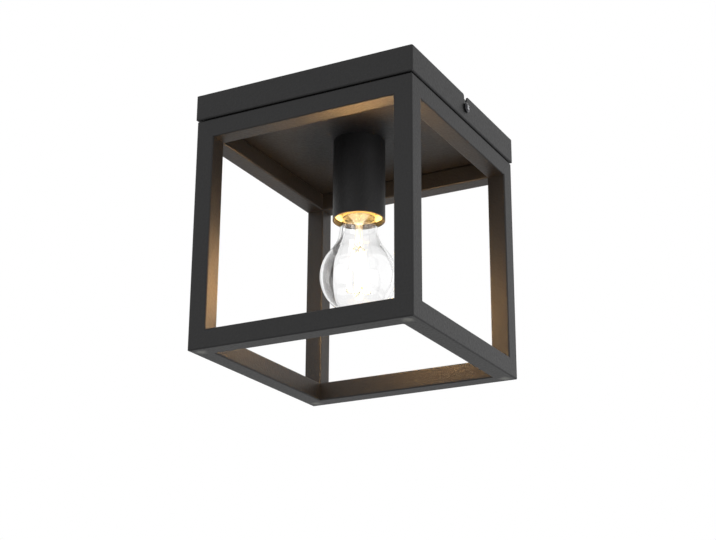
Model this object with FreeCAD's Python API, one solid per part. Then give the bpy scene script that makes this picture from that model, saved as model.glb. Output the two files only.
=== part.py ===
import FreeCAD, Part
import os
from math import asin, cos, pi, sin, sqrt, tan

# Porch ceiling lantern: an open cube cage of welded square steel tube, bolted under a shallow folded
# steel canopy.  A black sleeve under the canopy holds an E27 lampholder with a clear pear-shaped bulb.
# The canopy is pushed up over a mounting strip on the ceiling and clamped by one screw in each side.
#
# Millimetres.  The ceiling plane is z = 0 and the lantern hangs below it.  The origin is the middle of
# the canopy, +X is the side with the visible clamp screw, and -Y is the front.

# ---- cage of square tube ----
frame_width = 184.0          # outside, along X and along Y
frame_height = 183.5         # outside, along Z
tube_size = 15.0             # side of the square tube
tube_wall = 1.0
tube_corner = 1.2            # outside radius of the tube's long edges, and of the cage's ground edges

# ---- canopy, a folded steel pan that is open to the ceiling ----
canopy_overhang = 1.0        # how far the canopy stands out past the cage on each side
canopy_height = 20.7
canopy_wall = 1.0
canopy_fold = 1.5            # outside radius of the folded lower edge
canopy_corner = 1.4          # outside radius of the ground upright corners

# ---- mounting strip, screwed to the ceiling inside the canopy ----
strip_width = 22.0
strip_thickness = 1.5
strip_bend = 3.0             # outside radius of the bend into each ear
strip_gap = 0.4              # from an ear to the inside of the canopy wall
ear_height = 16.0            # from the ceiling to the lower end of an ear
slot_width = 5.0
slot_length = 26.0           # overall length of each ceiling-screw slot
slot_spacing = 80.0          # between the middles of the two slots
strip_cable_hole = 12.0      # hole in the middle of the strip

# ---- clamp screws in the sides of the canopy ----
clamp_screw_drop = 10.5      # from the ceiling to the screw's axis
clamp_screw_length = 8.0     # under the head
clamp_gap = 0.3              # from the canopy wall to the loosened head
notch_margin = 0.6           # from the screw's shank to each side of its notch
notch_entry = 2.0            # radius that opens the notch's mouth

# ---- M4 pan-head screws, in the canopy's sides and under the cage ----
m4_diameter = 4.0
m4_head_diameter = 8.0
m4_head_height = 2.4
m4_head_edge = 1.1           # height of the head's upright edge
m4_nut_flats = 7.0
m4_nut_height = 3.2
seat_gap = 0.05              # from a thread, pin or sleeve to the hole that it sits in

# ---- rivet nuts that carry the cage ----
rivet_nut_diameter = 6.0
rivet_nut_length = 10.0
rivet_nut_flange = 9.0       # diameter of the flange
rivet_nut_flange_height = 0.8    # the flange holds the cage this far under the canopy
frame_screw_length = 8.0
frame_screw_margin = 0.25    # round a frame screw in the canopy's floor

# ---- sleeve round the lampholder ----
sleeve_diameter = 41.2
sleeve_wall = 1.2
sleeve_length = 66.5         # from the canopy's underside to the rim

# ---- threaded nipple that hangs the lampholder ----
nipple_diameter = 10.0
nipple_bore = 8.0
nipple_rise = 6.2            # above the canopy's floor
nipple_reach = 14.3          # below the canopy's floor
nipple_margin = 0.25         # round the nipple in the canopy's floor and in the sleeve
washer_diameter = 18.0
washer_thickness = 1.0
nipple_nut_flats = 14.0
nipple_nut_height = 3.0

# ---- E27 lampholder ----
holder_gap = 0.4             # from the lampholder to the inside of the sleeve
holder_recess = 4.0          # from the sleeve's rim up to the lampholder's mouth
holder_depth = 29.2          # from the mouth to the floor that carries the contact
holder_floor = 4.0           # thickness of that floor
holder_mouth_flare = 1.6     # chamfer of the mouth
cover_wall = 2.0
cover_shoulder = 6.1         # from the sleeve's top plate to the cover's shoulder
cover_shoulder_radius = 4.0
cover_top_thickness = 2.5
cover_boss_diameter = 18.0
cover_boss_reach = 5.0       # how far the boss runs on below the shoulder plate's top
collar_wall = 1.6            # collar that centres the cover on the holder
collar_height = 5.0
collar_gap = 0.2
shell_wall = 0.4             # thin brass screw shell
shell_length = 20.5
shell_inset = 2.2            # from the mouth to the shell's lower edge
contact_width = 6.0
contact_thickness = 0.4
contact_drop = 4.3           # from the holder's floor to the contact's face
terminal_pitch = 16.0        # between the two terminal posts on the holder
post_width = 6.0
post_depth = 8.0
post_height = 7.0
post_rivet = 3.0             # diameter of the riveted foot through the holder's floor
post_screw_diameter = 3.0
post_screw_length = 4.0
post_screw_rise = 2.6        # axis of the clamping screw above the holder's floor

# ---- E27 bulb ----
bulb_length = 105.0
globe_radius = 30.0
neck_radius = 14.8
neck_sweep = 30.0            # radius of the hollow curve from the neck to the globe
glass_wall = 0.8
cap_diameter = 26.0
cap_length = 27.0            # from the tip to the open edge of the cap
cap_wall = 0.3
cap_shoulder = 5.6           # from the tip to the shoulder of the cap
cap_insulator_top = 1.0      # from the tip to the glass insulator, the height of the domed contact
cap_insulator_narrow = 9.6   # diameter of the insulator at the tip contact
cap_insulator_wide = 22.4    # diameter of the insulator at the cap's shoulder
cap_gap = 0.3                # from the cap to the screw shell, and from the tip to the contact
glass_in_cap = 8.0           # how far the glass neck runs up inside the cap
glass_gap = 0.2              # cement between glass and cap
stem_radius = 2.7
stem_flare_length = 13.0
stem_length = 30.5           # from the top of the neck to the tip of the stem
filament_count = 4
filament_length = 38.0
filament_diameter = 1.8
filament_top_radius = 4.0    # circle on which the filaments' upper ends stand
filament_foot_radius = 9.0   # circle of the lower ends
filament_wire = 0.8          # diameter of the nickel wires
filament_drop = 1.5          # from the stem's tip to the filaments' upper ends
driver_depth = 12.5          # from the bulb's tip to the driver board
driver_board = 1.6
driver_capacitor_diameter = 6.4
driver_capacitor_height = 5.5

# ---- three-pole terminal block in the canopy ----
block_poles = 3
block_pitch = 9.0
block_end = 6.0              # from an outer pole to the block's end
block_depth = 17.0
block_height = 14.0
block_y = 40.0               # middle of the block behind the lantern's axis
block_well = 4.4             # diameter of the screw wells
block_sleeve_diameter = 5.0
block_sleeve_bore = 3.2
block_sleeve_height = 6.5    # axis of the brass sleeves above the canopy's floor
block_screw_diameter = 3.0
block_screw_length = 5.0
block_screw_y = 4.6          # from the block's middle to each row of screws
block_stud_diameter = 3.0
block_stud_margin = 0.3
block_nut_flats = 5.5
block_nut_height = 2.4

# ---- earth stud, ring terminal and wires ----
earth_x = 34.0
earth_y = 20.0
earth_stud_length = 9.0
ring_diameter = 9.0
ring_thickness = 0.8
ring_neck = 5.0              # from the ring's middle to the crimped barrel
barrel_length = 5.0
barrel_wall = 0.5
wire_diameter = 2.2          # over the insulation
wire_bend = 4.5              # radius of each bend, measured on the wire's centre line
wire_gap = 0.05              # from a wire to the metal that grips it
nipple_wire_spread = 1.6     # each wire's distance from the axis inside the nipple

# ---- heights and radii that follow from the sizes above ----
canopy_width = frame_width + 2 * canopy_overhang
floor_top = canopy_wall - canopy_height
floor_under = -canopy_height
cage_top = floor_under - rivet_nut_flange_height
cage_bottom = cage_top - frame_height
sleeve_rim = floor_under - sleeve_length
sleeve_radius = sleeve_diameter / 2
sleeve_bore = sleeve_radius - sleeve_wall
sleeve_ceiling = floor_under - sleeve_wall
holder_radius = sleeve_bore - holder_gap
holder_mouth = sleeve_rim + holder_recess
holder_floor_under = holder_mouth + holder_depth
holder_floor_top = holder_floor_under + holder_floor
cap_radius = cap_diameter / 2
shell_inner = cap_radius + cap_gap
shell_outer = shell_inner + shell_wall
contact_face = holder_floor_under - contact_drop
bulb_tip = contact_face - cap_gap
cap_edge = bulb_tip - cap_length
globe_centre = bulb_tip - bulb_length + globe_radius
clamp_axis = -clamp_screw_drop
wire_radius = wire_diameter / 2


# ---- ways of making a solid ----
def vector(x, y, z):
    return FreeCAD.Vector(x, y, z)


def cylinder(radius, low, high, x=0.0, y=0.0):
    """Upright cylinder between two heights."""
    return Part.makeCylinder(radius, high - low, vector(x, y, low))


def rod(radius, start, end):
    """Cylinder from one point to another."""
    line = end - start
    return Part.makeCylinder(radius, line.Length, start, line)


def block(x_size, y_size, low, high, x=0.0, y=0.0):
    """Upright box between two heights, centred on (x, y)."""
    corner = vector(x - x_size / 2, y - y_size / 2, low)
    return Part.makeBox(x_size, y_size, high - low, corner)


def outline(start, steps, place):
    """Closed face through (a, b) points; a step of two points is an arc through the first to the second."""
    edges = []
    here = place(*start)
    for step in steps + [start]:
        if isinstance(step[0], tuple):
            there = place(*step[1])
            edges.append(Part.Arc(here, place(*step[0]), there).toShape())
        else:
            there = place(*step)
            if there.distanceToPoint(here) > 1e-7:
                edges.append(Part.makeLine(here, there))
        here = there
    return Part.Face(Part.Wire(edges))


def turned(start, *steps):
    """Solid of revolution about the Z axis from a profile of (radius, height) points."""
    face = outline(start, list(steps), lambda r, z: vector(r, 0, z))
    return face.revolve(vector(0, 0, 0), vector(0, 0, 1), 360)


def dome(radius, low, rise):
    """Arc step from the edge of a shallow dome to its top, with its centre on the axis."""
    ball = (radius ** 2 + rise ** 2) / (2 * rise)
    half = asin(radius / ball) / 2
    centre = low + rise - ball
    return ((ball * sin(half), centre + ball * cos(half)), (0, low + rise))


def rounded_prism(size, radius, low, high):
    """Upright square prism with rounded upright edges."""
    prism = block(size, size, low, high)
    upright = [edge for edge in prism.Edges if abs(edge.tangentAt(edge.FirstParameter).z) > 0.5]
    return prism.makeFillet(radius, upright)


def hexagon(flats, low, high):
    """Upright hexagonal prism."""
    reach = flats / 2 / cos(pi / 6)
    corners = [vector(reach * cos(i * pi / 3), reach * sin(i * pi / 3), low) for i in range(7)]
    return Part.Face(Part.makePolygon(corners)).extrude(vector(0, 0, high - low))


def nut(flats, height, bore_radius, low):
    """Hexagon nut with turned-down corners and a plain bore."""
    reach = flats / 2 / cos(pi / 6)
    crown = turned((0, low), (reach, low), (reach, low + height * 0.8),
                   (flats / 2, low + height), (0, low + height))
    body = hexagon(flats, low, low + height).common(crown)
    return body.cut(cylinder(bore_radius, low, low + height))


def pan_head_screw(diameter, head_diameter, head_height, head_edge, length):
    """Screw along -Z with its head's underside at z = 0 and a domed top."""
    radius = head_diameter / 2
    tip = diameter * 0.12
    return turned((0, -length), (diameter / 2 - tip, -length), (diameter / 2, tip - length),
                  (diameter / 2, 0), (radius, 0), (radius, head_edge),
                  dome(radius, head_edge, head_height - head_edge))


def moved(shape, x=0.0, y=0.0, z=0.0):
    """Copy of a shape, shifted."""
    copy = shape.copy()
    copy.translate(vector(x, y, z))
    return copy


def spun(shape, degrees, axis=(0, 0, 1)):
    """Copy of a shape, turned about an axis through the origin."""
    copy = shape.copy()
    copy.rotate(vector(0, 0, 0), vector(*axis), degrees)
    return copy


def fused(shapes):
    """One solid from shapes that meet."""
    return shapes[0].multiFuse(shapes[1:]).removeSplitter()


def save(name, shape):
    """Write one named piece, or a group of like pieces."""
    shape.exportStep("parts/" + name + ".step")


# ---- cage ----
side_names = ["front", "right", "back", "left"]
post_names = ["front_right", "back_right", "back_left", "front_left"]


def square_tube(low, high):
    """Upright length of square tube on the axis."""
    inner_size = tube_size - 2 * tube_wall
    inner_corner = max(tube_corner - tube_wall, tube_wall / 5)
    outside = rounded_prism(tube_size, tube_corner, low, high)
    return outside.cut(rounded_prism(inner_size, inner_corner, low, high))


def ground_edges():
    """The cage's outer block, with its upper and lower edges ground round."""
    cube = block(frame_width, frame_width, cage_bottom, cage_top)
    level = [edge for edge in cube.Edges if abs(edge.tangentAt(edge.FirstParameter).z) < 0.5]
    return cube.makeFillet(tube_corner, level)


def at_corners(piece):
    """One copy of an upright piece at each corner of the cage, in the order of the posts' names."""
    reach = frame_width / 2 - tube_size / 2
    return [spun(moved(piece, x=reach, y=-reach), 90 * turn) for turn in range(4)]


def rail(middle_height):
    """Front rail: tube between two posts, its outer weld filled and ground flush with them."""
    reach = frame_width / 2 - tube_size
    middle = tube_size / 2 - frame_width / 2
    low = middle_height - tube_size / 2
    high = middle_height + tube_size / 2

    def laid(upright):
        return moved(spun(upright, 90, (0, 1, 0)), y=middle, z=middle_height)

    filler = laid(rounded_prism(tube_size, tube_corner, -reach - tube_corner, reach + tube_corner))
    edge = tube_corner / 2
    welds = [block(tube_corner, tube_corner, low, high, x=side * (reach + edge), y=edge - frame_width / 2)
             for side in (-1, 1)]
    solid_posts = at_corners(rounded_prism(tube_size, tube_corner, low, high))
    welds = filler.common(Part.makeCompound(welds)).cut(Part.makeCompound(solid_posts))
    return fused([laid(square_tube(-reach, reach))] + welds.Solids)


def rivet_nut():
    """Flanged blind nut, hung from the cage's top face."""
    reach = rivet_nut_diameter / 2
    high = cage_top + rivet_nut_flange_height
    body = turned((0, cage_top - rivet_nut_length), (reach, cage_top - rivet_nut_length), (reach, cage_top),
                  (rivet_nut_flange / 2, cage_top), (rivet_nut_flange / 2, high), (0, high))
    return body.cut(cylinder(m4_diameter / 2 + seat_gap, cage_top - rivet_nut_length, high))


def frame_screw():
    """Screw through the canopy's floor into a rivet nut."""
    screw = pan_head_screw(m4_diameter, m4_head_diameter, m4_head_height, m4_head_edge, frame_screw_length)
    return moved(screw, z=floor_top)


def around_cage(piece):
    """One copy of a piece over the middle of each top rail."""
    reach = frame_width / 2 - tube_size / 2
    return [moved(piece, x=reach * cos(i * pi / 2), y=reach * sin(i * pi / 2)) for i in range(4)]


def make_cage():
    """Four full-length posts with the rails between them, and the nuts and screws that hang the cage."""
    post = square_tube(cage_bottom + tube_wall, cage_top)
    end_plate = rounded_prism(tube_size, tube_corner, cage_bottom, cage_bottom + tube_wall)
    cube = ground_edges()
    for name, corner_post in zip(post_names, at_corners(fused([post, end_plate]))):
        save("post_" + name, corner_post.common(cube))
    reach = frame_width / 2 - tube_size / 2
    nut_hole = cylinder(rivet_nut_diameter / 2 + seat_gap, cage_top - 2 * tube_wall, cage_top, y=-reach)
    top_rail = rail(cage_top - tube_size / 2).cut(nut_hole)
    bottom_rail = rail(cage_bottom + tube_size / 2)
    for turn, name in enumerate(side_names):
        save("top_rail_" + name, spun(top_rail, 90 * turn))
        save("bottom_rail_" + name, spun(bottom_rail, 90 * turn))
    save("rivet_nuts", Part.makeCompound(around_cage(rivet_nut())))
    save("frame_screws", Part.makeCompound(around_cage(frame_screw())))


# ---- canopy ----
def pan_block(width, height, fold, corner, top):
    """Solid block whose four lower edges are folded round and whose upright corners are ground round."""
    low = top - height
    side = width / 2
    slant = fold * (1 - sqrt(0.5))

    def section(place, along):
        face = outline((-side, top), [(-side, low + fold), ((-side + slant, low + slant), (-side + fold, low)),
                                      (side - fold, low), ((side - slant, low + slant), (side, low + fold)),
                                      (side, top)], place)
        return face.extrude(along)

    across = section(lambda a, z: vector(a, -side, z), vector(0, width, 0))
    along = section(lambda a, z: vector(-side, a, z), vector(width, 0, 0))
    return across.common(along).common(rounded_prism(width, corner, low, top))


def clamp_notch():
    """Open-topped notch for the clamp screw in the +X wall, with a rounded mouth."""
    half = m4_diameter / 2 + notch_margin
    mouth = half + notch_entry
    slant = notch_entry * (1 - sqrt(0.5))
    over = canopy_wall
    steps = [((half + slant, -slant), (half, -notch_entry)), (half, clamp_axis),
             ((0, clamp_axis - half), (-half, clamp_axis)), (-half, -notch_entry),
             ((-half - slant, -slant), (-mouth, 0)), (-mouth, over), (mouth, over)]
    start = canopy_width / 2 - 2 * canopy_wall
    face = outline((mouth, 0), steps, lambda y, z: vector(start, y, z))
    return face.extrude(vector(3 * canopy_wall, 0, 0))


def make_canopy():
    """Folded pan, open at the ceiling, with its notches and the holes in its floor."""
    outside = pan_block(canopy_width, canopy_height, canopy_fold, canopy_corner, 0)
    inner_width = canopy_width - 2 * canopy_wall
    inner_fold = max(canopy_fold - canopy_wall, canopy_wall / 5)
    inner_corner = max(canopy_corner - canopy_wall, canopy_wall / 5)
    inner_top = canopy_wall
    inside = pan_block(inner_width, inner_top - floor_top, inner_fold, inner_corner, inner_top)
    canopy = outside.cut(inside)
    notch = clamp_notch()
    screw_hole = cylinder(m4_diameter / 2 + frame_screw_margin, floor_under, floor_top)
    nipple_hole = cylinder(nipple_diameter / 2 + nipple_margin, floor_under, floor_top)
    cuts = [notch, spun(notch, 180), nipple_hole] + around_cage(screw_hole)
    save("canopy", canopy.cut(Part.makeCompound(cuts)))


# ---- mounting strip and clamp screws ----
def make_mounting():
    """Steel strip with an ear bent down at each end, and the two screws in the ears."""
    reach = canopy_width / 2 - canopy_wall - strip_gap
    inner_bend = max(strip_bend - strip_thickness, strip_thickness / 5)
    outer_slant = strip_bend * (1 - sqrt(0.5))
    inner_reach = reach - strip_thickness
    inner_slant = inner_bend * (1 - sqrt(0.5))
    under = -strip_thickness
    steps = [((-reach + outer_slant, -outer_slant), (-reach + strip_bend, 0)), (reach - strip_bend, 0),
             ((reach - outer_slant, -outer_slant), (reach, -strip_bend)), (reach, -ear_height),
             (inner_reach, -ear_height), (inner_reach, under - inner_bend),
             ((inner_reach - inner_slant, under - inner_slant), (inner_reach - inner_bend, under)),
             (inner_bend - inner_reach, under),
             ((inner_slant - inner_reach, under - inner_slant), (-inner_reach, under - inner_bend)),
             (-inner_reach, -ear_height), (-reach, -ear_height)]
    face = outline((-reach, -strip_bend), steps, lambda x, z: vector(x, -strip_width / 2, z))
    strip = face.extrude(vector(0, strip_width, 0))
    straight = slot_length - slot_width
    cuts = [cylinder(strip_cable_hole / 2, under, 0)]
    for side in (-1, 1):
        middle = side * slot_spacing / 2
        cuts.append(block(straight, slot_width, under, 0, x=middle))
        cuts.append(cylinder(slot_width / 2, under, 0, x=middle - straight / 2))
        cuts.append(cylinder(slot_width / 2, under, 0, x=middle + straight / 2))
    tapped = m4_diameter / 2 + seat_gap
    cuts.append(rod(tapped, vector(-reach, 0, clamp_axis), vector(reach, 0, clamp_axis)))
    save("mounting_strip", strip.cut(fused(cuts)))
    screw = pan_head_screw(m4_diameter, m4_head_diameter, m4_head_height, m4_head_edge, clamp_screw_length)
    screw = moved(spun(screw, 90, (0, 1, 0)), x=canopy_width / 2 + clamp_gap, z=clamp_axis)
    save("clamp_screw_right", screw)
    save("clamp_screw_left", spun(screw, 180))


# ---- sleeve, nipple, washer and nut ----
def make_sleeve():
    """Deep-drawn sleeve: a tube closed at the canopy by a plate with a hole for the nipple."""
    hole = nipple_diameter / 2 + nipple_margin
    sleeve = turned((hole, floor_under), (sleeve_radius, floor_under), (sleeve_radius, sleeve_rim),
                    (sleeve_bore, sleeve_rim), (sleeve_bore, sleeve_ceiling), (hole, sleeve_ceiling))
    save("lampholder_sleeve", sleeve)


def make_nipple():
    """Hollow threaded nipple through the canopy, with the washer and nut that clamp it."""
    outer = nipple_diameter / 2
    high = floor_top + nipple_rise
    low = floor_top - nipple_reach
    save("threaded_nipple", cylinder(outer, low, high).cut(cylinder(nipple_bore / 2, low, high)))
    thread = outer + seat_gap
    seat = floor_top + washer_thickness
    washer = cylinder(washer_diameter / 2, floor_top, seat).cut(cylinder(thread, floor_top, seat))
    save("nipple_washer", washer)
    save("nipple_nut", nut(nipple_nut_flats, nipple_nut_height, thread, seat))


# ---- lampholder ----
def holder_posts(piece):
    """A piece at each of the two terminals on the holder's floor."""
    return [moved(piece, x=side * terminal_pitch / 2) for side in (-1, 1)]


def make_lampholder():
    """Skirt with its floor, domed cover, screw shell, centre contact and the two terminal posts."""
    flare = holder_mouth_flare
    collar = holder_radius - cover_wall - collar_gap
    collar_top = holder_floor_top + collar_height
    bore = shell_outer + seat_gap
    skirt = turned((0, holder_floor_under), (bore, holder_floor_under), (bore, holder_mouth + flare),
                   (bore + flare, holder_mouth), (holder_radius, holder_mouth),
                   (holder_radius, holder_floor_top), (collar, holder_floor_top), (collar, collar_top),
                   (collar - collar_wall, collar_top), (collar - collar_wall, holder_floor_top),
                   (0, holder_floor_top))
    foot_hole = cylinder(post_rivet / 2 + seat_gap, holder_floor_under, holder_floor_top)
    save("lampholder_skirt", skirt.cut(Part.makeCompound(holder_posts(foot_hole))))

    thread = nipple_diameter / 2 + seat_gap
    boss = cover_boss_diameter / 2
    shoulder = sleeve_ceiling - cover_shoulder
    boss_low = shoulder - cover_boss_reach
    inner = holder_radius - cover_wall
    curve = cover_shoulder_radius
    slant = curve * (1 - sqrt(0.5))
    cover = turned((thread, sleeve_ceiling), (boss, sleeve_ceiling), (boss, shoulder),
                   (holder_radius - curve, shoulder),
                   ((holder_radius - slant, shoulder - slant), (holder_radius, shoulder - curve)),
                   (holder_radius, holder_floor_top), (inner, holder_floor_top),
                   (inner, shoulder - curve), (inner - curve + cover_wall, shoulder - cover_top_thickness),
                   (boss, shoulder - cover_top_thickness), (boss, boss_low), (thread, boss_low))
    save("lampholder_cover", cover)

    shell_low = holder_mouth + shell_inset
    shell_high = shell_low + shell_length
    ring = turned((shell_inner, shell_low), (shell_outer, shell_low), (shell_outer, shell_high),
                  (shell_inner, shell_high))
    half = contact_width / 2
    tab_low = holder_floor_under - contact_thickness
    arc_band = turned((shell_inner, shell_low), (shell_outer, shell_low), (shell_outer, holder_floor_under),
                      (shell_inner, holder_floor_under))
    upright = arc_band.common(block(shell_outer, contact_width, shell_low, holder_floor_under, x=shell_outer))
    inner_end = terminal_pitch / 2 - half
    tab = block(shell_outer - inner_end, contact_width, tab_low, holder_floor_under,
                x=(shell_outer + inner_end) / 2)
    tab = tab.common(cylinder(shell_outer, tab_low, holder_floor_under))
    foot_reach = post_rivet / 2 + seat_gap
    foot = cylinder(foot_reach, tab_low, holder_floor_under, x=terminal_pitch / 2)
    save("screw_shell", fused([ring, upright, tab]).cut(foot))

    leaf_end = -terminal_pitch / 2 - half
    bend_start = -terminal_pitch / 2 + half
    top = holder_floor_under
    low = contact_face
    sheet = contact_thickness
    leaf = outline((leaf_end, top), [(bend_start, top), (-half, low + sheet), (half, low + sheet),
                                     (half + sheet, low + 2 * sheet), (half + 2 * sheet, low + sheet),
                                     (half, low), (-half - sheet / 2, low), (bend_start - sheet / 2, top - sheet),
                                     (leaf_end, top - sheet)], lambda x, z: vector(x, -half, z))
    leaf = leaf.extrude(vector(0, contact_width, 0))
    hole = cylinder(foot_reach, tab_low, holder_floor_under, x=-terminal_pitch / 2)
    save("centre_contact", leaf.cut(hole))

    floor = holder_floor_top
    post = block(post_width, post_depth, floor, floor + post_height)
    post = post.fuse(cylinder(post_rivet / 2, tab_low, floor))
    wire_end = wire_radius + wire_gap
    screw_radius = post_screw_diameter / 2
    screw_height = floor + post_screw_rise
    post = post.cut(cylinder(wire_end, floor + post_screw_rise - screw_radius, floor + post_height))
    screw_start = vector(0, -wire_end, screw_height)
    screw_end = vector(0, -wire_end - post_screw_length, screw_height)
    post = post.cut(rod(screw_radius + seat_gap, vector(0, 0, screw_height), screw_end))
    save("holder_terminals", Part.makeCompound(holder_posts(post)))
    save("holder_terminal_screws", Part.makeCompound(holder_posts(rod(screw_radius, screw_start, screw_end))))


# ---- bulb ----
def globe_profile(inset):
    """Points of the glass at a distance inside its outer face: neck, hollow sweep and globe."""
    radius = globe_radius - inset
    sweep = neck_sweep + inset
    neck = neck_radius - inset
    centre_r = neck + sweep
    centre_z = globe_centre + sqrt((radius + sweep) ** 2 - centre_r ** 2)
    share = radius / (radius + sweep)
    meet = (centre_r * share, globe_centre + (centre_z - globe_centre) * share)
    aim = ((neck + meet[0]) / 2 - centre_r, (centre_z + meet[1]) / 2 - centre_z)
    length = sqrt(aim[0] ** 2 + aim[1] ** 2)
    sweep_middle = (centre_r + aim[0] * sweep / length, centre_z + aim[1] * sweep / length)
    pole = (0, globe_centre - radius)
    return (neck, centre_z), sweep_middle, meet, (radius, globe_centre), pole


def make_bulb_glass():
    """Clear pear-shaped envelope, open at the top of its neck, and the glass stem that closes it."""
    neck_top = cap_edge + glass_in_cap
    fit = cap_radius - cap_wall - glass_gap
    out_start, out_middle, out_meet, out_side, out_pole = globe_profile(0)
    in_start, in_middle, in_meet, in_side, in_pole = globe_profile(glass_wall)

    def low_side(radius):
        return (radius * sqrt(0.5), globe_centre - radius * sqrt(0.5))

    def high_side(radius, meet):
        aim_r = meet[0] + radius
        aim_z = meet[1] - globe_centre
        length = sqrt(aim_r ** 2 + aim_z ** 2)
        return (aim_r * radius / length, globe_centre + aim_z * radius / length)

    inner_radius = globe_radius - glass_wall
    glass = turned((fit, neck_top), (fit, cap_edge), out_start, (out_middle, out_meet),
                   (high_side(globe_radius, out_meet), out_side), (low_side(globe_radius), out_pole),
                   in_pole, (low_side(inner_radius), in_side), (high_side(inner_radius, in_meet), in_meet),
                   (in_middle, in_start), (fit - glass_wall, cap_edge), (fit - glass_wall, neck_top))
    save("bulb_glass", glass)
    rim = fit - glass_wall - seat_gap
    flare_end = neck_top - stem_flare_length
    tip = neck_top - stem_length
    inner = stem_radius - glass_wall
    stem = turned((rim - glass_wall, neck_top), (rim, neck_top), (rim, neck_top - glass_wall),
                  (stem_radius, flare_end), (stem_radius, tip + stem_radius),
                  ((stem_radius * sqrt(0.5), tip + stem_radius * (1 - sqrt(0.5))), (0, tip)),
                  (0, flare_end - glass_wall), (inner, flare_end))
    pinch = cylinder(filament_wire / 2, tip, flare_end)
    save("bulb_stem", stem.cut(pinch))
    return tip


def make_filaments(stem_tip):
    """Four leaning light filaments, and the nickel wires that hold them at both ends."""
    top = stem_tip - filament_drop
    lean = filament_foot_radius - filament_top_radius
    foot = top - sqrt(filament_length ** 2 - lean ** 2)
    wire = filament_wire / 2
    filaments = []
    wires = [cylinder(wire, foot - wire, stem_tip + stem_radius)]
    for i in range(filament_count):
        turn = (i + 0.5) * 2 * pi / filament_count
        high = vector(filament_top_radius * cos(turn), filament_top_radius * sin(turn), top)
        low = vector(filament_foot_radius * cos(turn), filament_foot_radius * sin(turn), foot)
        filaments.append(rod(filament_diameter / 2, high, low))
        wires.append(rod(wire, vector(0, 0, top), high))
        wires.append(rod(wire, vector(0, 0, foot), low))
    save("filaments", Part.makeCompound(filaments))
    save("filament_wires", fused(wires).cut(Part.makeCompound(filaments)))


def make_bulb_cap():
    """Screw cap, glass insulator, tip contact, and the driver board inside the cap."""
    shoulder = bulb_tip - cap_shoulder
    insulator_top = bulb_tip - cap_insulator_top
    narrow = cap_insulator_narrow / 2
    wide = cap_insulator_wide / 2
    inner = cap_radius - cap_wall
    slope = cap_radius - wide
    cap = turned((wide, shoulder), (cap_radius, shoulder - slope), (cap_radius, cap_edge), (inner, cap_edge),
                 (inner, shoulder - slope - cap_wall / 2), (wide, shoulder - cap_wall * 1.5))
    save("bulb_cap", cap)
    lead = filament_wire / 2
    edge = wide - seat_gap
    insulator = turned((lead, insulator_top), (narrow, insulator_top), (edge, shoulder),
                       (edge, shoulder - cap_wall), (lead, shoulder - cap_wall))
    save("bulb_insulator", insulator)
    tip = turned((0, insulator_top), (narrow, insulator_top), dome(narrow, insulator_top, cap_insulator_top))
    save("bulb_tip_contact", tip)
    board_high = bulb_tip - driver_depth
    board_low = board_high - driver_board
    board = cylinder(inner - glass_gap, board_low, board_high)
    capacitor = cylinder(driver_capacitor_diameter / 2, board_high, board_high + driver_capacitor_height,
                         x=driver_capacitor_diameter)
    lead_up = cylinder(lead, board_high, insulator_top - cap_insulator_top)
    lead_down = cylinder(lead, cap_edge + glass_in_cap - stem_flare_length, board_low)
    save("bulb_driver", fused([board, capacitor, lead_up, lead_down]))


# ---- wiring in the canopy ----
def block_places():
    """X of each pole of the terminal block."""
    return [(i - (block_poles - 1) / 2) * block_pitch for i in range(block_poles)]


def make_terminal_block():
    """Moulded block with a brass sleeve and two screws for each pole, held by two welded studs."""
    high = floor_top + block_height
    axis = floor_top + block_sleeve_height
    front = block_y - block_depth / 2
    back = block_y + block_depth / 2
    length = (block_poles - 1) * block_pitch + 2 * block_end
    body = block(length, block_depth, floor_top, high, y=block_y)
    stud_radius = block_stud_diameter / 2
    sleeve_radius_out = block_sleeve_diameter / 2
    screw_radius = block_screw_diameter / 2
    screw_low = axis + block_sleeve_bore / 2
    screw_high = screw_low + block_screw_length
    cuts = []
    sleeves = []
    screws = []
    for x in block_places():
        start = vector(x, front, axis)
        end = vector(x, back, axis)
        cuts.append(rod(sleeve_radius_out + seat_gap, start, end))
        sleeve = rod(sleeve_radius_out, start, end).cut(rod(block_sleeve_bore / 2, start, end))
        for row in (-1, 1):
            y = block_y + row * block_screw_y
            cuts.append(cylinder(block_well / 2, axis, high, x=x, y=y))
            sleeve = sleeve.cut(cylinder(screw_radius + seat_gap, axis, high, x=x, y=y))
            screws.append(cylinder(screw_radius, screw_low, screw_high, x=x, y=y))
        sleeves.append(sleeve)
    studs = []
    nuts = []
    nut_shape = nut(block_nut_flats, block_nut_height, stud_radius + seat_gap, high)
    for side in (-1, 1):
        x = side * block_pitch / 2
        cuts.append(cylinder(stud_radius + block_stud_margin, floor_top, high, x=x, y=block_y))
        studs.append(cylinder(stud_radius, floor_top, high + block_nut_height, x=x, y=block_y))
        nuts.append(moved(nut_shape, x=x, y=block_y))
    save("terminal_block", body.cut(Part.makeCompound(cuts)))
    save("block_sleeves", Part.makeCompound(sleeves))
    save("block_screws", Part.makeCompound(screws))
    save("block_studs", Part.makeCompound(studs))
    save("block_nuts", Part.makeCompound(nuts))


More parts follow.
